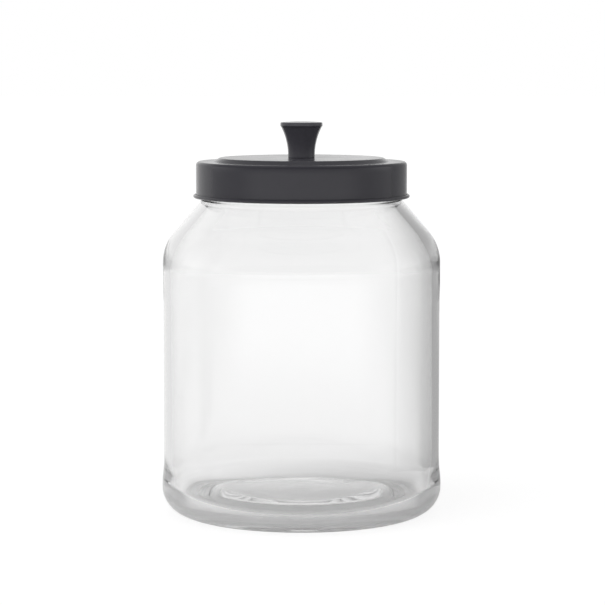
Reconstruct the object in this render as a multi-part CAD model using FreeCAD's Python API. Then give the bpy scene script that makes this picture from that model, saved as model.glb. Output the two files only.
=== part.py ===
"""Clear glass storage jar of about a gallon, with a slip-over sheet-metal lid and a flared knob.

Millimetres, +Z up. The origin is the centre of the foot, on the surface that the jar stands on. Every
piece is turned about the Z axis, so each one is drawn as a half-section of (radius, height) corners,
each with its own bend, and revolved. Three solids: the blown glass jar, the pressed lid that rests on
its lip, and the knob that stands on the lid.
"""
import FreeCAD, Part
import math
import os

# ---- Glass jar, outside ----
BODY_RADIUS = 85.0          # shoulder band, at the top of the upright wall
BODY_HEIGHT = 164.4         # where the wall and the shoulder would meet sharply
HEEL_BULGE = 0.85           # the heel band stands this far outside the shoulder band
PANEL_RECESS = 0.3          # the wall between the bands lies this far inside the shoulder band
HEEL_BAND = 20.0            # height of the heel band
SHOULDER_BAND = 24.0        # height of the shoulder band
BAND_EASE = 10.0            # height over which a band gives way to the recessed wall
BAND_BLEND = 60.0           # bend at each end of that ease
SHOULDER_BEND = 28.8
SHOULDER_ANGLE = 40.1       # degrees between the shoulder's slope and the jar's axis
NECK_RADIUS = 61.0
NECK_HEIGHT = 22.3          # from where the shoulder and the neck would meet sharply, up to the lip
NECK_FOOT_BEND = 2.5
LIP_BEND = 1.8

# ---- Glass jar, foot ----
HEEL_BEND = 15.8            # between the wall and the underside
FOOT_RING_WIDTH = 5.4       # flat ring that the jar stands on
FOOT_RING_BEND = 4.0
PUSH_UP = 7.0               # depth of the hollow under the base
PUSH_UP_SLOPE = 12.0        # how far the hollow's sloping side spreads
PUSH_UP_BEND = 18.0

# ---- Glass jar, inside ----
BODY_WALL = 4.8
SHOULDER_WALL = 6.4         # glass gathers in the shoulder, which is thicker than the wall
NECK_WALL = 4.4
BASE_WALL = 7.4             # over the foot ring
MIDDLE_WALL = 5.0           # over the push-up
FLOOR_RISE_SHIFT = 1.0      # the floor starts to rise this far inside the foot ring's inner edge
FLOOR_RISE_BEND = 20.0
FLOOR_TOP_SHIFT = 4.0       # and levels out this far inside the edge of the push-up's top
FLOOR_TOP_BEND = 36.0
INNER_HEEL_BEND = 13.0
INNER_SHOULDER_BEND = 30.0
INNER_NECK_BEND = 5.0

# ---- Bead round the neck, which centres the lid ----
BEAD_RISE = 2.4             # how far it stands out from the neck
BEAD_WIDTH = 4.0
BEAD_BEND = 1.2
BEAD_DROP = 7.0             # middle of the bead below the lip

# ---- Lid ----
SHEET = 0.5                 # metal thickness
LID_CLEARANCE = 0.6         # between the neck's bead and the inside of the skirt
HEM_LIFT = 0.6              # bottom of the hem above the foot of the neck
SKIRT_BEND = 1.9            # bends are those of the middle of the sheet
FLAT_WIDTH = 10.5           # flat ring between the skirt and the raised panel
STEP_WIDTH = 3.7            # how far the panel's slanting side spreads
PANEL_RISE = 2.2
STEP_BEND = 1.2
HEM_CURL = 0.85
HEM_TAIL = 0.3              # straight end of the rolled hem

# ---- Knob ----
KNOB_HEIGHT = 22.1
KNOB_FOOT_RADIUS = 8.15
KNOB_FOOT_BEND = 0.3
KNOB_STRAIGHT = 1.1         # straight stem below the flare
KNOB_HEAD_RADIUS = 12.9
KNOB_HEAD_LIP = 0.35        # how far the head's edge overhangs the flare
KNOB_HEAD_BAND = 2.5        # upright edge of the head
KNOB_HEAD_BEND = 0.7
KNOB_CROWN = 0.5            # rise of the head's domed top

# ---- Radii and heights that follow from those ----
HEEL_RADIUS = BODY_RADIUS + HEEL_BULGE
PANEL_WALL_RADIUS = BODY_RADIUS - PANEL_RECESS
SHOULDER_TAN = math.tan(math.radians(SHOULDER_ANGLE))
NECK_FOOT = BODY_HEIGHT + (BODY_RADIUS - NECK_RADIUS) / SHOULDER_TAN
LIP = NECK_FOOT + NECK_HEIGHT
BORE_RADIUS = NECK_RADIUS - NECK_WALL
CAVITY_RADIUS = BODY_RADIUS - BODY_WALL
FOOT_RING_INNER = HEEL_RADIUS - HEEL_BEND - FOOT_RING_WIDTH
LID_FLAT = LIP + SHEET / 2              # the lid's levels are those of the middle of the sheet
LID_PANEL = LID_FLAT + PANEL_RISE
LID_SKIRT = NECK_RADIUS + BEAD_RISE + LID_CLEARANCE + SHEET / 2
LID_HEM = NECK_FOOT + HEM_LIFT + SHEET / 2
KNOB_BASE = LID_PANEL + SHEET / 2


def direction(start, end):
    """Unit vector from one (radius, height) point to another."""
    across, up = end[0] - start[0], end[1] - start[1]
    length = math.hypot(across, up)
    return across / length, up / length


def moved(point, along, distance):
    """The point a distance away from a (radius, height) point, along a unit vector."""
    return point[0] + along[0] * distance, point[1] + along[1] * distance


def section_vector(point):
    """A (radius, height) point as a vector of the XZ plane, in which the half-sections lie."""
    return FreeCAD.Vector(point[0], 0, point[1])


def bend_arc(before, corner, after):
    """Start, middle and end of the arc that rounds a (radius, height, bend) corner."""
    back, ahead = direction(corner, before), direction(corner, after)
    half_angle = math.acos(back[0] * ahead[0] + back[1] * ahead[1]) / 2
    reach = corner[2] / math.tan(half_angle)
    inset = corner[2] / math.sin(half_angle) - corner[2]
    inward = direction((0, 0), (back[0] + ahead[0], back[1] + ahead[1]))
    ends = moved(corner, back, reach), moved(corner, inward, inset), moved(corner, ahead, reach)
    return [section_vector(point) for point in ends]


def rounded_wire(corners):
    """Closed wire through (radius, height, bend) corners. A bend of 0 leaves the corner sharp."""
    stops = []
    for i, corner in enumerate(corners):
        if corner[2] > 0:
            stops.append(bend_arc(corners[i - 1], corner, corners[(i + 1) % len(corners)]))
        else:
            stops.append([section_vector(corner)])
    edges = []
    for i, stop in enumerate(stops):
        if len(stop) > 1:
            edges.append(Part.Arc(*stop).toShape())
        onward = stops[(i + 1) % len(stops)][0]
        if stop[-1].distanceToPoint(onward) > 1e-6:
            edges.append(Part.LineSegment(stop[-1], onward).toShape())
    return Part.Wire(edges)


def turned(corners):
    """Solid made by revolving the half-section with these corners about the Z axis."""
    face = Part.Face(rounded_wire(corners))
    solid = face.revolve(FreeCAD.Vector(0, 0, 0), FreeCAD.Vector(0, 0, 1), 360)
    return solid if solid.Volume > 0 else solid.reversed()


def one_side(path, distance):
    """The path shifted to its left by a distance, with its bends changed to stay concentric."""
    shifted = []
    for i, corner in enumerate(path):
        arriving = direction(path[i - 1], corner) if i > 0 else direction(corner, path[1])
        leaving = direction(corner, path[i + 1]) if i < len(path) - 1 else arriving
        turn = arriving[0] * leaving[1] - arriving[1] * leaving[0]
        cosine = arriving[0] * leaving[0] + arriving[1] * leaving[1]
        left = (-arriving[1] - leaving[1], arriving[0] + leaving[0])
        radius, height = moved(corner, left, distance / (1 + cosine))
        bend = corner[2] - distance * math.copysign(1, turn) if corner[2] > 0 else 0
        shifted.append((radius, height, bend))
    return shifted


def sheet_section(path, thickness):
    """Half-section of a sheet whose middle follows the path of (radius, height, bend) corners."""
    return one_side(path, thickness / 2) + one_side(path, -thickness / 2)[::-1]


def foot_and_wall():
    """Outside of the jar from the middle of the push-up to the foot of the neck."""
    slope_start = FOOT_RING_INNER - PUSH_UP_SLOPE
    band_foot = BODY_HEIGHT - SHOULDER_BAND
    return [
        (0, PUSH_UP, 0),
        (slope_start, PUSH_UP, PUSH_UP_BEND),
        (FOOT_RING_INNER, 0, FOOT_RING_BEND),
        (HEEL_RADIUS, 0, HEEL_BEND),
        (HEEL_RADIUS, HEEL_BAND, BAND_BLEND),
        (PANEL_WALL_RADIUS, HEEL_BAND + BAND_EASE, BAND_BLEND),
        (PANEL_WALL_RADIUS, band_foot - BAND_EASE, BAND_BLEND),
        (BODY_RADIUS, band_foot, BAND_BLEND),
        (BODY_RADIUS, BODY_HEIGHT, SHOULDER_BEND),
        (NECK_RADIUS, NECK_FOOT, NECK_FOOT_BEND),
    ]


def neck():
    """Outside of the neck with its bead, over the lip and into the bore."""
    bead = NECK_RADIUS + BEAD_RISE
    bead_top = LIP - BEAD_DROP + BEAD_WIDTH / 2
    return [
        (NECK_RADIUS, bead_top - BEAD_WIDTH - BEAD_RISE, BEAD_BEND),
        (bead, bead_top - BEAD_WIDTH, BEAD_BEND),
        (bead, bead_top, BEAD_BEND),
        (NECK_RADIUS, bead_top + BEAD_RISE, BEAD_BEND),
        (NECK_RADIUS, LIP, LIP_BEND),
        (BORE_RADIUS, LIP, LIP_BEND),
    ]


def cavity():
    """Inside of the jar from the bore down to the middle of the floor."""
    wall_across = SHOULDER_WALL / math.cos(math.radians(SHOULDER_ANGLE))
    slope_radius = BODY_RADIUS - wall_across    # radius of the inner slope at the body's height
    bore_foot = BODY_HEIGHT + (slope_radius - BORE_RADIUS) / SHOULDER_TAN
    cavity_top = BODY_HEIGHT + (slope_radius - CAVITY_RADIUS) / SHOULDER_TAN
    floor = PUSH_UP + MIDDLE_WALL
    floor_edge = FOOT_RING_INNER - PUSH_UP_SLOPE - FLOOR_TOP_SHIFT
    return [
        (BORE_RADIUS, bore_foot, INNER_NECK_BEND),
        (CAVITY_RADIUS, cavity_top, INNER_SHOULDER_BEND),
        (CAVITY_RADIUS, BASE_WALL, INNER_HEEL_BEND),
        (FOOT_RING_INNER - FLOOR_RISE_SHIFT, BASE_WALL, FLOOR_RISE_BEND),
        (floor_edge, floor, FLOOR_TOP_BEND),
        (0, floor, 0),
    ]


def glass_jar():
    """The blown jar: one wall of glass, open at the lip."""
    return turned(foot_and_wall() + neck() + cavity())


def pressed_lid():
    """The lid: a raised panel, a flat ring that rests on the lip, a skirt and a rolled hem."""
    step_foot = LID_SKIRT - FLAT_WIDTH
    curl = 2 * HEM_CURL
    path = [
        (0, LID_PANEL, 0),
        (step_foot - STEP_WIDTH, LID_PANEL, STEP_BEND),
        (step_foot, LID_FLAT, STEP_BEND),
        (LID_SKIRT, LID_FLAT, SKIRT_BEND),
        (LID_SKIRT, LID_HEM, HEM_CURL),
        (LID_SKIRT + curl, LID_HEM, HEM_CURL),
        (LID_SKIRT + curl, LID_HEM + curl, HEM_CURL),
        (LID_SKIRT + HEM_CURL - HEM_TAIL, LID_HEM + curl, 0),
    ]
    return turned(sheet_section(path, SHEET))


def flared_knob():
    """The knob: a straight stem, a hollow flare tangent to it, and an upright head with a low dome."""
    top = KNOB_BASE + KNOB_HEIGHT
    shoulder = top - KNOB_CROWN
    flare_top = shoulder - KNOB_HEAD_BAND
    across = KNOB_HEAD_RADIUS - KNOB_HEAD_LIP - KNOB_FOOT_RADIUS
    up = flare_top - KNOB_BASE - KNOB_STRAIGHT
    chord = math.hypot(across, up)
    flare_bend = chord**2 / (2 * across)        # the arc that leaves the stem upright
    flare_corner = KNOB_BASE + KNOB_STRAIGHT + chord**2 / (2 * up)
    dome_corner = KNOB_HEAD_RADIUS / 2
    dome_bend = dome_corner**2 / KNOB_CROWN
    return turned([
        (0, KNOB_BASE, 0),
        (KNOB_FOOT_RADIUS, KNOB_BASE, KNOB_FOOT_BEND),
        (KNOB_FOOT_RADIUS, flare_corner, flare_bend),
        (KNOB_HEAD_RADIUS - KNOB_HEAD_LIP, flare_top, 0),
        (KNOB_HEAD_RADIUS, flare_top + KNOB_HEAD_LIP / 2, 0),
        (KNOB_HEAD_RADIUS, shoulder, KNOB_HEAD_BEND),
        (dome_corner, top, dome_bend),
        (0, top, 0),
    ])


PIECES = {
    "glass_jar": glass_jar,
    "lid": pressed_lid,
    "knob": flared_knob,
}

os.makedirs("parts", exist_ok=True)
for name, make in PIECES.items():
    solid = make()
    solid.exportStep(f"parts/{name}.step")
    box = solid.optimalBoundingBox(False, False)
    print(f"{name}: valid {solid.isValid()}, {solid.Volume / 1000:.1f} cm3, "
          f"top {box.ZMax:.1f} mm, width {box.XLength:.1f} mm")
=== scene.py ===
"""Looks of a clear glass storage jar with a charcoal lid and knob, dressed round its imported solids.

Sizes are in millimetres until a mesh is made, which is in metres. Every piece is turned about the
jar's axis, so each sub-assembly holds its sizes and draws a half-section of (radius, height) corners.
"""

import logging
import math
from dataclasses import dataclass, field
from enum import Enum

import bpy
import numpy as np
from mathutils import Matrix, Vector

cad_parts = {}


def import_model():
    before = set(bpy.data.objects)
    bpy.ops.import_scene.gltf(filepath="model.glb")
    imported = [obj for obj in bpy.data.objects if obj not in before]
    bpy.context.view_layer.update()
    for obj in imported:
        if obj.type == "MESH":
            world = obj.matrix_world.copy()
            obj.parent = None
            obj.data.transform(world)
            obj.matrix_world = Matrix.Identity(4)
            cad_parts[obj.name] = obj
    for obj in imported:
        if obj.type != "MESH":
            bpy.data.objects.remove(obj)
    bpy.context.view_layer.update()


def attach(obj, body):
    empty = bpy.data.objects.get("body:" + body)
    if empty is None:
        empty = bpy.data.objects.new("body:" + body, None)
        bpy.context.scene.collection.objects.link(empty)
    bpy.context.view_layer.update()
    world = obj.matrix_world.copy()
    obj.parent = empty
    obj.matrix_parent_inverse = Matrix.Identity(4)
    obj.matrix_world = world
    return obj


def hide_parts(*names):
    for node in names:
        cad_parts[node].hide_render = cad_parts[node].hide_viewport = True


LOG = logging.getLogger("storage_jar")
MM = 0.001                  # metres in a millimetre
TINY = 1e-6                 # millimetres within which two places are one
ANGLE_DIGITS = 9            # decimals of a radian kept, so that angles that agree become one
WHITE = (1.0, 1.0, 1.0, 1.0)
NOISE_SPREAD = (0.3, 0.7)   # where nearly all of a noise texture's values lie
BODY = "root"               # the part is one body


class Slot(Enum):
    """The record's material slots."""

    GLASS = "clear_glass"
    LID = "lid_enamel"
    KNOB = "knob_enamel"


class Node(Enum):
    """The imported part's nodes."""

    JAR = "glass_jar"
    LID = "lid"
    KNOB = "knob"


# ---------------------------------------------------------------- sections and turned meshes

@dataclass(frozen=True)
class Corner:
    """One corner of a half-section, in millimetres, rounded by a bend."""

    radius: float
    height: float
    bend: float = 0.0

    @property
    def point(self) -> np.ndarray:
        """The corner as a (radius, height) vector."""
        return np.array((self.radius, self.height))


@dataclass(frozen=True)
class Wave:
    """One sine wave over turned glass."""

    around: float               # waves round the axis
    along: float                # radians for each body radius of height or radius
    start: float                # radians
    share: float = 1.0

    def at(self, angles: np.ndarray, place: np.ndarray) -> np.ndarray:
        """The wave's height for angles round the axis and places in body radii."""
        return self.share * np.sin(self.around * angles + self.along * place + self.start)


def ramp(values: np.ndarray, start: float, end: float) -> np.ndarray:
    """Nought up to start, one from end on, and a straight rise between them."""
    return np.clip((values - start) / (end - start), 0, 1)


def unit(vector: np.ndarray) -> np.ndarray:
    """The vector at length one."""
    return vector / np.linalg.norm(vector)


def bend_points(before: np.ndarray, corner: Corner, after: np.ndarray, step: float) -> list[np.ndarray]:
    """Points along the arc that rounds a corner.

    Args:
        before: The previous corner.
        corner: The corner to round.
        after: The next corner.
        step: Degrees of arc from one point to the next.

    Returns:
        The arc's points from the side of before to the side of after.
    """
    back, ahead = unit(before - corner.point), unit(after - corner.point)
    half = math.acos(float(np.clip(back @ ahead, -1, 1))) / 2
    centre = corner.point + unit(back + ahead) * corner.bend / math.sin(half)
    start = corner.point + back * corner.bend / math.tan(half) - centre
    end = corner.point + ahead * corner.bend / math.tan(half) - centre
    sweep = math.atan2(start[0] * end[1] - start[1] * end[0], start @ end)
    count = max(2, math.ceil(abs(math.degrees(sweep)) / step))
    points = []
    for i in range(count + 1):
        turn = sweep * i / count
        across = math.cos(turn) * start[0] - math.sin(turn) * start[1]
        up = math.sin(turn) * start[0] + math.cos(turn) * start[1]
        points.append(centre + np.array((across, up)))
    return points


def section(corners: list[Corner], closed: bool, step: float = 3.0, run: float = 3.0) -> np.ndarray:
    """Points along a half-section with rounded corners.

    Args:
        corners: The corners in order.
        closed: Whether the last corner joins the first one.
        step: Degrees of arc between points on a bend.
        run: Longest distance between points on a straight run.

    Returns:
        An array of (radius, height) rows in millimetres.
    """
    bent: list[np.ndarray] = []
    for i, corner in enumerate(corners):
        is_end = not closed and i in (0, len(corners) - 1)
        if corner.bend <= 0 or is_end:
            bent.append(corner.point)
            continue
        before, after = corners[i - 1].point, corners[(i + 1) % len(corners)].point
        bent.extend(bend_points(before, corner, after, step))
    if closed:
        bent.append(bent[0])
    points = [bent[0]]
    for target in bent[1:]:
        gap = target - points[-1]
        length = float(np.linalg.norm(gap))
        if length < TINY:
            continue
        pieces = max(1, math.ceil(length / run))
        start = points[-1]
        points.extend(start + gap * (k + 1) / pieces for k in range(pieces))
    if closed:
        points.pop()
    return np.array(points)


def one_side(path: list[Corner], distance: float) -> list[Corner]:
    """A path of corners shifted to its left, with its bends kept concentric.

    Args:
        path: Corners along the middle of a sheet.
        distance: Millimetres to shift, less than nothing for a shift to the right.

    Returns:
        The shifted corners.
    """
    shifted = []
    for i, corner in enumerate(path):
        before = path[i - 1] if i > 0 else None
        after = path[i + 1] if i < len(path) - 1 else None
        arriving = unit(corner.point - before.point) if before else unit(after.point - corner.point)
        leaving = unit(after.point - corner.point) if after else arriving
        turn = arriving[0] * leaving[1] - arriving[1] * leaving[0]
        left = np.array((-arriving[1] - leaving[1], arriving[0] + leaving[0]))
        place = corner.point + left * distance / (1 + float(arriving @ leaving))
        bend = corner.bend - distance * math.copysign(1, turn) if corner.bend > 0 else 0.0
        shifted.append(Corner(float(place[0]), float(place[1]), bend))
    return shifted


def turned_mesh(name: str, points: np.ndarray, angles: np.ndarray, closed: bool,
                swell: np.ndarray | None = None, lift: np.ndarray | None = None) -> bpy.types.Object:
    """Turns a half-section about the Z axis into a smooth mesh.

    Args:
        name: Name of the new object.
        points: (radius, height) rows in millimetres. Rows of radius 0 become poles.
        angles: Angles round the axis, in radians from the front towards +X.
        closed: Whether the last row joins the first one.
        swell: Millimetres added to the radius, one row for each point and one column for each angle.
        lift: Millimetres added to the height, likewise.

    Returns:
        The new object, linked to the scene, in metres.
    """
    count = len(angles)
    radii = points[:, :1] + (0 if swell is None else swell) + np.zeros((1, count))
    heights = points[:, 1:] + (0 if lift is None else lift) + np.zeros((1, count))
    vertices: list[tuple[float, float, float]] = []
    rings: list[list[int]] = []
    for radius, height in zip(radii * MM, heights * MM):
        start = len(vertices)
        if radius.max() < TINY * MM:
            vertices.append((0.0, 0.0, float(height.mean())))
            rings.append([start] * count)
        else:
            vertices.extend(zip(radius * np.sin(angles), -radius * np.cos(angles), height))
            rings.append(list(range(start, start + count)))
    faces = []
    pairs = list(zip(rings, rings[1:])) + ([(rings[-1], rings[0])] if closed else [])
    for low, high in pairs:
        for k in range(count):
            following = (k + 1) % count
            face = list(dict.fromkeys((low[k], low[following], high[following], high[k])))
            if len(face) > 2:
                faces.append(face)
    mesh = bpy.data.meshes.new(name)
    mesh.from_pydata(vertices, [], faces)
    mesh.shade_smooth()
    mesh.update()
    piece = bpy.data.objects.new(name, mesh)
    bpy.context.scene.collection.objects.link(piece)
    return piece


def even_angles(count: int) -> np.ndarray:
    """Angles spread evenly round the axis, in radians."""
    return np.arange(count) * 2 * math.pi / count


def dress(piece: bpy.types.Object, material: bpy.types.Material, node: Node) -> None:
    """Gives a piece its material and its place in the part.

    Args:
        piece: The piece of the scene.
        material: Its finish.
        node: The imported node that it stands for.
    """
    piece.data.materials.append(material)
    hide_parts(node.value)
    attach(piece, BODY)


# ---------------------------------------------------------------- node helpers

def grey(value: float) -> tuple[float, float, float, float]:
    """A linear grey as RGBA."""
    return value, value, value, 1.0


def linear(hex_colour: str) -> tuple[float, float, float, float]:
    """Turns an sRGB colour into a linear one.

    Args:
        hex_colour: The colour as "#rrggbb".

    Returns:
        Linear RGBA.
    """
    channels = [int(hex_colour[i:i + 2], 16) / 255 for i in (1, 3, 5)]
    # the sRGB standard's own curve
    values = [c / 12.92 if c <= 0.04045 else ((c + 0.055) / 1.055) ** 2.4 for c in channels]
    return values[0], values[1], values[2], 1.0


def add_node(tree: bpy.types.NodeTree, kind: str, inputs: dict | None = None,
             **settings: object) -> bpy.types.Node:
    """Adds a node with its settings, and its inputs either set or linked.

    Args:
        tree: The node tree.
        kind: The node's type name without the ShaderNode prefix.
        inputs: Input name or index to a value, to an output socket, or to a node for its first output.
        **settings: The node's own properties.

    Returns:
        The new node.
    """
    node = tree.nodes.new("ShaderNode" + kind)
    for key, value in settings.items():
        setattr(node, key, value)
    for key, value in (inputs or {}).items():
        source = value.outputs[0] if isinstance(value, bpy.types.Node) else value
        if isinstance(source, bpy.types.NodeSocket):
            tree.links.new(source, node.inputs[key])
        else:
            node.inputs[key].default_value = source
    return node


def empty_tree(name: str) -> tuple[bpy.types.Material, bpy.types.NodeTree]:
    """Makes a material without nodes.

    Args:
        name: The material's name.

    Returns:
        The material and its empty node tree.
    """
    material = bpy.data.materials.new(name)
    material.use_nodes = True
    material.node_tree.nodes.clear()
    return material, material.node_tree


def millimetres(tree: bpy.types.NodeTree) -> bpy.types.Node:
    """A node that gives the place on the piece in millimetres."""
    place = add_node(tree, "TexCoord")
    return add_node(tree, "VectorMath", {0: place.outputs["Object"], "Scale": 1 / MM}, operation="SCALE")


# ---------------------------------------------------------------- finishes

@dataclass(frozen=True)
class ClearGlass:
    """Soda-lime glass, blown in a mould and fire-polished."""

    name: str = "clear_soda_lime_glass"
    tint: str = "#fdfdfd"
    ior: float = 1.52
    shade: str = "#ececec"              # what a shadow keeps of the light at each surface
    wave_pitch: float = 30.0            # millimetres, as all sizes here
    wave_height: float = 0.02
    seed_pitch: float = 19.0
    seed_radius: float = 0.45
    seed_depth: float = 0.05
    stipple_pitch: float = 1.6
    stipple_scatter: float = 0.6        # how unevenly its dots lie, from 0 to 1
    stipple_height: float = 0.12
    stipple_frost: float = 0.6          # roughness that the stipple adds
    stipple_full: float = 0.88          # the stipple is full up to this height
    stipple_top: float = 2.2            # and gone above this one

    def build(self) -> bpy.types.Material:
        """Makes the material.

        Returns:
            The material.
        """
        material, tree = empty_tree(self.name)
        place = millimetres(tree)
        height = self.relief(tree, place)
        # slight waves in the skin of the glass bend what shows through it
        bump = add_node(tree, "Bump", {"Height": height, "Distance": MM, "Strength": 1.0})
        body = add_node(tree, "BsdfPrincipled", {
            "Base Color": linear(self.tint), "Transmission Weight": 1.0, "IOR": self.ior,
            "Roughness": self.foot(tree, place, self.stipple_frost), "Normal": bump,
        })
        # light reaches the floor through the glass, a little dimmed by each surface but the stipple
        shade = add_node(tree, "MixRGB", {0: self.foot(tree, place, 1.0), 1: linear(self.shade), 2: WHITE})
        clear = add_node(tree, "BsdfTransparent", {"Color": shade})
        path = add_node(tree, "LightPath")
        mix = add_node(tree, "MixShader", {0: path.outputs["Is Shadow Ray"], 1: body, 2: clear})
        add_node(tree, "OutputMaterial", {"Surface": mix})
        return material

    def relief(self, tree: bpy.types.NodeTree, place: bpy.types.Node) -> bpy.types.Node:
        """Height of the skin in millimetres: waves, seeds and the foot's stipple.

        Args:
            tree: The material's node tree.
            place: Node that gives the place in millimetres.

        Returns:
            The node whose first output is the height.
        """
        waves = add_node(tree, "TexNoise", {"Vector": place, "Scale": 1 / self.wave_pitch, "Detail": 1.0})
        waves = add_node(tree, "Math", {0: waves, 1: self.wave_height}, operation="MULTIPLY")
        seeds = add_node(tree, "TexVoronoi", {"Vector": place, "Scale": 1 / self.seed_pitch})
        seeds = add_node(tree, "MapRange", {0: seeds, 1: 0.0, 2: self.seed_radius / self.seed_pitch,
                                            3: self.seed_depth, 4: 0.0}, interpolation_type="SMOOTHSTEP")
        stipple = add_node(tree, "TexVoronoi", {"Vector": place, "Scale": 1 / self.stipple_pitch,
                                                "Randomness": self.stipple_scatter})
        stipple = add_node(tree, "Math", {0: stipple, 1: self.foot(tree, place, self.stipple_height)},
                           operation="MULTIPLY")
        total = add_node(tree, "Math", {0: waves, 1: seeds}, operation="SUBTRACT")
        return add_node(tree, "Math", {0: total, 1: stipple}, operation="SUBTRACT")

    def foot(self, tree: bpy.types.NodeTree, place: bpy.types.Node, most: float) -> bpy.types.Node:
        """A value that is full where the jar stands and gone above the stipple.

        Args:
            tree: The material's node tree.
            place: Node that gives the place in millimetres.
            most: The full value.

        Returns:
            The node whose first output is the value.
        """
        level = add_node(tree, "SeparateXYZ", {0: place})
        return add_node(tree, "MapRange", {0: level.outputs["Z"], 1: self.stipple_full, 2: self.stipple_top,
                                           3: most, 4: 0.0})


@dataclass(frozen=True)
class CharcoalEnamel:
    """Charcoal enamel, sprayed on steel and stoved to a half-gloss skin with faint orange peel."""

    name: str = "charcoal_stoving_enamel"
    colour: str = "#2c2b31"
    patch_colour: str = "#302f35"
    roughness: tuple[float, float] = (0.15, 0.21)
    patch_pitch: float = 24.0           # millimetres, as all sizes here
    peel_pitch: float = 1.8
    peel_height: float = 0.006
    ripple_pitch: float = 38.0
    ripple_height: float = 0.05

    def build(self) -> bpy.types.Material:
        """Makes the material.

        Returns:
            The material.
        """
        material, tree = empty_tree(self.name)
        place = millimetres(tree)
        patches = add_node(tree, "TexNoise", {"Vector": place, "Scale": 1 / self.patch_pitch,
                                              "Detail": 3.0})
        colour = add_node(tree, "MixRGB", {0: patches, 1: linear(self.colour),
                                           2: linear(self.patch_colour)})
        # spray settles unevenly, so the gloss varies from patch to patch
        gloss = add_node(tree, "MapRange", {0: patches, 1: NOISE_SPREAD[0], 2: NOISE_SPREAD[1],
                                            3: self.roughness[0], 4: self.roughness[1]})
        peel = add_node(tree, "TexNoise", {"Vector": place, "Scale": 1 / self.peel_pitch, "Detail": 1.0})
        peel = add_node(tree, "Math", {0: peel, 1: self.peel_height}, operation="MULTIPLY")
        ripple = add_node(tree, "TexNoise", {"Vector": place, "Scale": 1 / self.ripple_pitch,
                                             "Detail": 0.0})
        ripple = add_node(tree, "Math", {0: ripple, 1: self.ripple_height}, operation="MULTIPLY")
        height = add_node(tree, "Math", {0: peel, 1: ripple}, operation="ADD")
        bump = add_node(tree, "Bump", {"Height": height, "Distance": MM, "Strength": 1.0})
        coat = add_node(tree, "BsdfPrincipled", {"Base Color": colour, "Roughness": gloss, "Normal": bump})
        add_node(tree, "OutputMaterial", {"Surface": coat})
        return material


# ---------------------------------------------------------------- the jar

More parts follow.
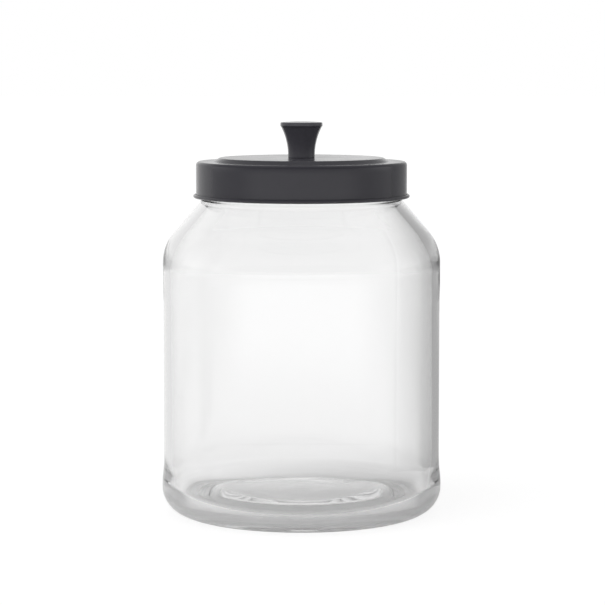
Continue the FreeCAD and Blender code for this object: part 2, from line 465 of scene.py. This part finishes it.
@dataclass
class GlassJar:
    """The blown jar."""

    body_radius: float = 85.0
    body_height: float = 164.4
    heel_bulge: float = 0.85
    panel_recess: float = 0.3
    heel_band: float = 20.0
    shoulder_band: float = 24.0
    band_ease: float = 10.0
    band_blend: float = 60.0
    shoulder_bend: float = 28.8
    shoulder_angle: float = 40.1
    neck_radius: float = 61.0
    neck_height: float = 22.3
    neck_foot_bend: float = 2.5
    lip_bend: float = 1.8
    heel_bend: float = 15.8
    foot_ring_width: float = 5.4
    foot_ring_bend: float = 4.0
    push_up: float = 7.0
    push_up_slope: float = 12.0
    push_up_bend: float = 18.0
    body_wall: float = 4.8
    shoulder_wall: float = 6.4
    neck_wall: float = 4.4
    base_wall: float = 7.4
    middle_wall: float = 5.0
    floor_rise_shift: float = 1.0
    floor_rise_bend: float = 20.0
    floor_top_shift: float = 4.0
    floor_top_bend: float = 36.0
    inner_heel_bend: float = 13.0
    inner_shoulder_bend: float = 30.0
    inner_neck_bend: float = 5.0
    bead_rise: float = 2.4
    bead_width: float = 4.0
    bead_bend: float = 1.2
    bead_drop: float = 7.0
    seam_angles: tuple[float, float] = (41.4, 221.4)    # degrees from the front towards +X
    seam_height: float = 0.008
    seam_width: float = 0.7             # from its crest to where it is gone
    seam_steps: int = 3                 # steps of the mesh over that width
    wall_unevenness: float = 0.05
    wall_waves: tuple[Wave, ...] = (Wave(3, 2.1, 0.7), Wave(5, -3.3, 2.0, 0.6))
    floor_ripple: float = 0.06
    floor_waves: tuple[Wave, ...] = (Wave(1, 14, 0), Wave(-1, 21, 1.0, 0.7))
    ripple_full: float = 14.0           # radius from which the ripples are full
    ripple_fade: float = 55.0           # radius where they start to fade
    ripple_end: float = 76.0            # radius where they are gone
    segments: int = 200

    def outside(self) -> list[Corner]:
        """The skin that the mould shaped.

        Returns:
            Corners from the middle of the push-up to the top of the neck.
        """
        heel = self.body_radius + self.heel_bulge
        recess = self.body_radius - self.panel_recess
        band_foot = self.body_height - self.shoulder_band
        bead = self.neck_radius + self.bead_rise
        bead_top = self.lip - self.bead_drop + self.bead_width / 2
        return [
            Corner(0, self.push_up),
            Corner(self.ring_inner - self.push_up_slope, self.push_up, self.push_up_bend),
            Corner(self.ring_inner, 0, self.foot_ring_bend),
            Corner(heel, 0, self.heel_bend),
            Corner(heel, self.heel_band, self.band_blend),
            Corner(recess, self.heel_band + self.band_ease, self.band_blend),
            Corner(recess, band_foot - self.band_ease, self.band_blend),
            Corner(self.body_radius, band_foot, self.band_blend),
            Corner(self.body_radius, self.body_height, self.shoulder_bend),
            Corner(self.neck_radius, self.neck_foot, self.neck_foot_bend),
            Corner(self.neck_radius, bead_top - self.bead_width - self.bead_rise, self.bead_bend),
            Corner(bead, bead_top - self.bead_width, self.bead_bend),
            Corner(bead, bead_top, self.bead_bend),
            Corner(self.neck_radius, bead_top + self.bead_rise, self.bead_bend),
            Corner(self.neck_radius, self.lip, self.lip_bend),
        ]

    @property
    def ring_inner(self) -> float:
        """Radius where the foot ring meets the push-up."""
        return self.body_radius + self.heel_bulge - self.heel_bend - self.foot_ring_width

    @property
    def slope(self) -> float:
        """Radius lost for each millimetre of height on the shoulder."""
        return math.tan(math.radians(self.shoulder_angle))

    @property
    def neck_foot(self) -> float:
        """Height where the shoulder and the neck would meet sharply."""
        return self.body_height + (self.body_radius - self.neck_radius) / self.slope

    @property
    def lip(self) -> float:
        """Height of the lip."""
        return self.neck_foot + self.neck_height

    def inside(self) -> list[Corner]:
        """The skin that the air shaped.

        Returns:
            Corners from the lip down the bore to the middle of the floor.
        """
        bore = self.neck_radius - self.neck_wall
        cavity = self.body_radius - self.body_wall
        sloped = self.body_radius - self.shoulder_wall / math.cos(math.radians(self.shoulder_angle))
        floor = self.push_up + self.middle_wall
        return [
            Corner(bore, self.lip, self.lip_bend),
            Corner(bore, self.body_height + (sloped - bore) / self.slope, self.inner_neck_bend),
            Corner(cavity, self.body_height + (sloped - cavity) / self.slope, self.inner_shoulder_bend),
            Corner(cavity, self.base_wall, self.inner_heel_bend),
            Corner(self.ring_inner - self.floor_rise_shift, self.base_wall, self.floor_rise_bend),
            Corner(self.ring_inner - self.push_up_slope - self.floor_top_shift, floor, self.floor_top_bend),
            Corner(0, floor),
        ]

    def angles(self) -> np.ndarray:
        """Even angles, with more of them across each mould seam.

        Returns:
            The angles in radians, in rising order.
        """
        spread = self.seam_width / self.body_radius
        steps = range(-self.seam_steps, self.seam_steps + 1)
        near = [math.radians(seam) + spread * k / self.seam_steps
                for seam in self.seam_angles for k in steps]
        return np.unique(np.round(np.concatenate((even_angles(self.segments), near)), ANGLE_DIGITS))

    def seams(self, points: np.ndarray, angles: np.ndarray) -> np.ndarray:
        """Swell of the outside where the halves of the mould met.

        Args:
            points: The outside's (radius, height) rows.
            angles: Angles round the axis.

        Returns:
            Millimetres for each point and angle.
        """
        ridge = np.zeros(len(angles))
        for seam in self.seam_angles:
            away = np.abs(angles - math.radians(seam)) * self.body_radius / self.seam_width
            ridge = np.maximum(ridge, np.clip(1 - away**2, 0, 1))
        above = ramp(points[:, 1], self.heel_bend, self.heel_bend + self.heel_band)
        below = ramp(points[:, 1], self.neck_foot, self.neck_foot - self.neck_foot_bend)
        return self.seam_height * (above * below)[:, None] * ridge[None, :]

    def thin_places(self, points: np.ndarray, angles: np.ndarray) -> np.ndarray:
        """Swell of the inside, where the glass spread unevenly as it was blown.

        Args:
            points: The inside's (radius, height) rows.
            angles: Angles round the axis.

        Returns:
            Millimetres for each point and angle.
        """
        height = points[:, 1:]
        waves = sum(wave.at(angles[None, :], height / self.body_radius) for wave in self.wall_waves)
        above_heel = ramp(height, self.heel_band, 2 * self.heel_band)
        below_lip = ramp(height, self.lip, self.neck_foot)
        return self.wall_unevenness * waves * above_heel * below_lip

    def floor_ripples(self, points: np.ndarray, angles: np.ndarray) -> np.ndarray:
        """Lift of the floor, where the glass folded as it settled.

        Args:
            points: The inside's (radius, height) rows.
            angles: Angles round the axis.

        Returns:
            Millimetres for each point and angle.
        """
        radius, height = points[:, :1], points[:, 1:]
        waves = sum(wave.at(angles[None, :], radius / self.body_radius) for wave in self.floor_waves)
        on_floor = ramp(height, 2 * self.heel_bend, self.heel_bend) * ramp(radius, 0, self.ripple_full)
        return self.floor_ripple * waves * on_floor * ramp(radius, self.ripple_end, self.ripple_fade)

    def build(self) -> bpy.types.Object:
        """Makes the glass mesh and dresses it.

        Returns:
            The dressed piece.
        """
        corners = self.outside() + self.inside()
        points = section(corners, closed=False)
        angles = self.angles()
        inner = np.zeros(len(points), dtype=bool)
        inner[int(np.argmax(points[:, 1] >= self.lip - TINY)) + 1:] = True
        swell = np.where(inner[:, None], self.thin_places(points, angles), self.seams(points, angles))
        lift = np.where(inner[:, None], self.floor_ripples(points, angles), 0.0)
        piece = turned_mesh("jar_glass", points, angles, False, swell, lift)
        dress(piece, ClearGlass().build(), Node.JAR)
        return piece


@dataclass
class PressedLid:
    """The lid: a raised panel, a flat ring that rests on the lip, a skirt and a rolled hem."""

    jar: GlassJar
    sheet: float = 0.5
    clearance: float = 0.6
    hem_lift: float = 0.6
    skirt_bend: float = 1.9
    flat_width: float = 10.5
    step_width: float = 3.7
    panel_rise: float = 2.2
    step_bend: float = 1.2
    hem_curl: float = 0.85
    hem_tail: float = 0.3
    segments: int = 240

    @property
    def panel(self) -> float:
        """Height of the middle of the sheet in the raised panel."""
        return self.jar.lip + self.sheet / 2 + self.panel_rise

    def path(self) -> list[Corner]:
        """The middle of the sheet.

        Returns:
            Corners from the axis to the end of the rolled hem.
        """
        flat = self.jar.lip + self.sheet / 2
        skirt = self.jar.neck_radius + self.jar.bead_rise + self.clearance + self.sheet / 2
        hem = self.jar.neck_foot + self.hem_lift + self.sheet / 2
        curl = 2 * self.hem_curl
        return [
            Corner(0, self.panel),
            Corner(skirt - self.flat_width - self.step_width, self.panel, self.step_bend),
            Corner(skirt - self.flat_width, flat, self.step_bend),
            Corner(skirt, flat, self.skirt_bend),
            Corner(skirt, hem, self.hem_curl),
            Corner(skirt + curl, hem, self.hem_curl),
            Corner(skirt + curl, hem + curl, self.hem_curl),
            Corner(skirt + self.hem_curl - self.hem_tail, hem + curl),
        ]

    def build(self) -> bpy.types.Object:
        """Makes the lid mesh and dresses it.

        Returns:
            The dressed piece.
        """
        sheet = one_side(self.path(), self.sheet / 2) + one_side(self.path(), -self.sheet / 2)[::-1]
        points = section(sheet, closed=False, step=10.0)
        piece = turned_mesh("lid_shell", points, even_angles(self.segments), closed=False)
        dress(piece, CharcoalEnamel().build(), Node.LID)
        return piece


@dataclass
class FlaredKnob:
    """The knob: a short stem, a hollow flare and an upright head with a low dome."""

    base: float
    height: float = 22.1
    foot_radius: float = 8.15
    foot_bend: float = 0.3
    straight: float = 1.1
    head_radius: float = 12.9
    head_lip: float = 0.35
    head_band: float = 2.5
    head_bend: float = 0.7
    crown: float = 0.5
    # painted light: the lid's charcoal enamel made lighter, standing in for light that the knob's downward
    # flare catches
    finish: CharcoalEnamel = CharcoalEnamel("charcoal_enamel_painted_lighter", "#45444a", "#49484e")
    segments: int = 144

    def corners(self) -> list[Corner]:
        """The outline of the knob.

        Returns:
            Corners from the middle of the foot to the middle of the top.
        """
        top = self.base + self.height
        shoulder = top - self.crown
        flare_top = shoulder - self.head_band
        across = self.head_radius - self.head_lip - self.foot_radius
        up = flare_top - self.base - self.straight
        chord = math.hypot(across, up)
        dome = self.head_radius / 2
        return [
            Corner(0, self.base),
            Corner(self.foot_radius, self.base, self.foot_bend),
            Corner(self.foot_radius, self.base + self.straight + chord**2 / (2 * up),
                   chord**2 / (2 * across)),
            Corner(self.head_radius - self.head_lip, flare_top),
            Corner(self.head_radius, flare_top + self.head_lip / 2),
            Corner(self.head_radius, shoulder, self.head_bend),
            Corner(dome, top, dome**2 / self.crown),
            Corner(0, top),
        ]

    def build(self) -> bpy.types.Object:
        """Makes the knob mesh and dresses it.

        Returns:
            The dressed piece.
        """
        points = section(self.corners(), closed=False, step=2.0, run=1.5)
        piece = turned_mesh("knob_body", points, even_angles(self.segments), closed=False)
        dress(piece, self.finish.build(), Node.KNOB)
        return piece


# ---------------------------------------------------------------- studio

@dataclass(frozen=True)
class Card:
    """A standing card beside the jar, which shows only in reflections and through the glass."""

    name: str
    start: tuple[float, float]          # metres, from above
    end: tuple[float, float]
    height: float
    tone: float
    fade: float                         # share of the card over which each free edge gives way

    def build(self) -> bpy.types.Object:
        """Makes the card with edges that fade out.

        Returns:
            The card.
        """
        (x0, y0), (x1, y1) = self.start, self.end
        mesh = bpy.data.meshes.new(self.name)
        mesh.from_pydata([(x0, y0, 0), (x1, y1, 0), (x1, y1, self.height), (x0, y0, self.height)], [],
                         [(0, 1, 2, 3)])
        layer = mesh.uv_layers.new(name="card")
        for loop, place in zip(layer.data, ((0, 0), (1, 0), (1, 1), (0, 1))):
            loop.uv = place
        card = bpy.data.objects.new(self.name, mesh)
        bpy.context.scene.collection.objects.link(card)
        material, tree = empty_tree(self.name)
        place = add_node(tree, "SeparateXYZ", {0: add_node(tree, "UVMap", uv_map="card")})
        cover = None
        for axis, edges in (("X", (0.0, 1.0)), ("Y", (1.0,))):
            for edge in edges:
                away = add_node(tree, "Math", {0: place.outputs[axis], 1: edge}, operation="SUBTRACT")
                away = add_node(tree, "Math", {0: away}, operation="ABSOLUTE")
                rise = add_node(tree, "MapRange", {0: away, 1: 0.0, 2: self.fade, 3: 0.0, 4: 1.0},
                                interpolation_type="SMOOTHSTEP")
                cover = add_node(tree, "Math", {0: cover, 1: rise}, operation="MULTIPLY") if cover else rise
        clear = add_node(tree, "BsdfTransparent")
        face = add_node(tree, "Emission", {"Color": grey(self.tone), "Strength": 1.0})
        mix = add_node(tree, "MixShader", {0: cover, 1: clear, 2: face})
        add_node(tree, "OutputMaterial", {"Surface": mix})
        mesh.materials.append(material)
        card.visible_camera = False
        card.visible_shadow = False
        card.visible_diffuse = False
        return card


@dataclass
class Studio:
    """Pale floor, white surround, soft lamps and the camera."""

    camera_distance: float = 1.446
    camera_height: float = 0.2795
    camera_pitch: float = 4.8           # degrees down
    sensor: float = 36.0                # millimetres, as the lens
    lens: float = 140.72
    shift: tuple[float, float] = (0.0017, -0.0783)
    bounces: int = 48
    floor_half: float = 15.0            # metres
    floor_tone: float = 0.93
    # painted shade: the floor's tone close round the jar, greyer where the jar's shade would fall
    floor_painted_shade: float = 0.86
    floor_side: float = 0.4
    painted_shade_reach: tuple[float, float] = (0.25, 1.0)    # metres from the jar over which the near tone gives way
    pale_lane: tuple[float, float] = (0.2, 0.75)    # share of the way that leads front or back, dim to pale
    floor_glow: float = 1.06
    seen_glow: float = 0.8              # share of glow in what the camera sees of the floor
    bent_glow: float = 0.10             # and in what shows through the glass
    key_direction: tuple[float, float, float] = (0.45, 0.35, -1.0)
    key_angle: float = 40.0             # degrees across
    key_strength: float = 1.3
    fill: float = 0.72                  # strength of the surround where it only lights
    front: float = 0.4                  # and where it shows, behind the camera
    white_back: tuple[float, float] = (-0.6, 0.1)   # how far round to the back the surround turns white
    overhead: float = 0.35
    white_low: tuple[float, float] = (0.1, 0.5)     # and how far up it stays so
    cards: list[Card] = field(default_factory=lambda: [
        Card("card_right", start=(0.055, 0.095), end=(0.30, 0.05), height=0.35, tone=0.4, fade=0.25),
        Card("card_left", start=(-0.075, 0.09), end=(-0.30, 0.05), height=0.35, tone=0.78, fade=0.25),
    ])

    def camera(self) -> bpy.types.Object:
        """Puts the camera in front of the jar.

        Returns:
            The camera.
        """
        data = bpy.data.cameras.new("camera")
        data.sensor_width = self.sensor
        data.lens = self.lens
        data.shift_x, data.shift_y = self.shift
        camera = bpy.data.objects.new("camera", data)
        camera.location = (0, -self.camera_distance, self.camera_height)
        camera.rotation_euler = (math.radians(90 - self.camera_pitch), 0, 0)
        bpy.context.scene.collection.objects.link(camera)
        bpy.context.scene.camera = camera
        return camera

    def untouched(self, tree: bpy.types.NodeTree, path: bpy.types.Node) -> bpy.types.Node:
        """One for light that came straight or through glass, nought once it has met a matte surface.

        Args:
            tree: A node tree.
            path: Its light path node.

        Returns:
            The node whose first output is that number.
        """
        bent = add_node(tree, "Math", {0: path.outputs["Is Transmission Ray"],
                                       1: path.outputs["Is Glossy Ray"]}, operation="MAXIMUM")
        # the depth is a whole number, so this is one only at nought
        first = add_node(tree, "Math", {0: path.outputs["Diffuse Depth"], 1: 0.5}, operation="LESS_THAN")
        return add_node(tree, "Math", {0: bent, 1: first}, operation="MULTIPLY")

    def floor(self) -> bpy.types.Object:
        """A wide pale floor, which glows in part so that it reads white.

        Returns:
            The floor.
        """
        mesh = bpy.data.meshes.new("floor")
        half = self.floor_half
        mesh.from_pydata([(-half, -half, 0), (half, -half, 0), (half, half, 0), (-half, half, 0)], [],
                         [(0, 1, 2, 3)])
        floor = bpy.data.objects.new("floor", mesh)
        bpy.context.scene.collection.objects.link(floor)
        material, tree = empty_tree("pale_floor")
        path = add_node(tree, "LightPath")
        seen = add_node(tree, "Math", {0: path.outputs["Is Camera Ray"], 1: self.seen_glow},
                        operation="MULTIPLY")
        bent = add_node(tree, "Math", {0: self.untouched(tree, path), 1: self.bent_glow},
                        operation="MULTIPLY")
        share = add_node(tree, "Math", {0: seen, 1: bent}, operation="MAXIMUM")
        matte = add_node(tree, "BsdfDiffuse", {"Color": self.sweep(tree)})
        glow = add_node(tree, "Emission", {"Color": WHITE, "Strength": self.floor_glow})
        mix = add_node(tree, "MixShader", {0: share, 1: matte, 2: glow})
        add_node(tree, "OutputMaterial", {"Surface": mix})
        mesh.materials.append(material)
        return floor

    def sweep(self, tree: bpy.types.NodeTree) -> bpy.types.Node:
        """Tone of the floor: pale before and behind the jar, dim at the far sides, greyer close by as
        painted shade.

        Args:
            tree: The floor's node tree.

        Returns:
            The node whose first output is the tone.
        """
        place = add_node(tree, "NewGeometry").outputs["Position"]
        away = add_node(tree, "VectorMath", {0: place}, operation="LENGTH").outputs["Value"]
        along = add_node(tree, "Math", {0: add_node(tree, "SeparateXYZ", {0: place}).outputs["Y"], 1: away},
                         operation="DIVIDE")
        along = add_node(tree, "Math", {0: along}, operation="ABSOLUTE")
        far = add_node(tree, "MapRange", {0: along, 1: self.pale_lane[0], 2: self.pale_lane[1],
                                          3: self.floor_side, 4: self.floor_tone},
                       interpolation_type="SMOOTHSTEP")
        # painted shade: the floor turns greyer within reach of the jar
        near = add_node(tree, "MapRange", {0: away, 1: self.painted_shade_reach[0], 2: self.painted_shade_reach[1],
                                           3: 1.0, 4: 0.0}, interpolation_type="SMOOTHSTEP")
        return add_node(tree, "MixRGB", {0: near, 1: far, 2: grey(self.floor_painted_shade)})

    def key(self) -> bpy.types.Object:
        """A broad distant lamp from above, a little to the left and the front.

        Returns:
            The lamp.
        """
        data = bpy.data.lights.new("key_lamp", "SUN")
        data.angle = math.radians(self.key_angle)
        data.energy = self.key_strength
        lamp = bpy.data.objects.new("key_lamp", data)
        lamp.rotation_euler = Vector(self.key_direction).to_track_quat("-Z", "Y").to_euler()
        bpy.context.scene.collection.objects.link(lamp)
        lamp.visible_glossy = False
        lamp.visible_transmission = False
        return lamp

    def surround(self) -> None:
        """White behind the jar, dimmer above and in front, and one soft grey where it only lights."""
        world = bpy.data.worlds.new("surround")
        bpy.context.scene.world = world
        world.use_nodes = True
        tree = world.node_tree
        tree.nodes.clear()
        path = add_node(tree, "LightPath")
        seen = add_node(tree, "Math", {0: path.outputs["Is Camera Ray"], 1: self.untouched(tree, path)},
                        operation="MAXIMUM")
        toward = add_node(tree, "SeparateXYZ", {0: add_node(tree, "TexCoord").outputs["Generated"]})
        back = add_node(tree, "MapRange", {0: toward.outputs["Y"], 1: self.white_back[0],
                                           2: self.white_back[1], 3: self.front, 4: 1.0},
                        interpolation_type="SMOOTHSTEP")
        above = add_node(tree, "MapRange", {0: toward.outputs["Z"], 1: self.white_low[0],
                                            2: self.white_low[1], 3: 1.0, 4: self.overhead},
                         interpolation_type="SMOOTHSTEP")
        back = add_node(tree, "Math", {0: back, 1: above}, operation="MULTIPLY")
        white = add_node(tree, "Background", {"Color": WHITE, "Strength": back})
        soft = add_node(tree, "Background", {"Color": WHITE, "Strength": self.fill})
        mix = add_node(tree, "MixShader", {0: seen, 1: soft, 2: white})
        add_node(tree, "OutputWorld", {"Surface": mix})

    def build(self) -> None:
        """Sets the whole studio up."""
        self.camera()
        self.floor()
        self.surround()
        self.key()
        for card in self.cards:
            card.build()
        scene = bpy.context.scene
        scene.view_settings.view_transform = "Standard"
        # light takes many turns inside a thick clear wall
        scene.cycles.max_bounces = self.bounces
        scene.cycles.transmission_bounces = self.bounces
        scene.cycles.glossy_bounces = self.bounces // 2
        scene.cycles.transparent_max_bounces = self.bounces


def main() -> None:
    """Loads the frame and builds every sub-assembly."""
    logging.basicConfig(level=logging.INFO, format="%(name)s: %(message)s")
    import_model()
    Studio().build()
    jar = GlassJar()
    lid = PressedLid(jar)
    knob = FlaredKnob(base=lid.panel + lid.sheet / 2)
    for part in (jar, lid, knob):
        piece = part.build()
        LOG.info("%s: %d faces", piece.name, len(piece.data.polygons))


if __name__ == "__main__":
    main()
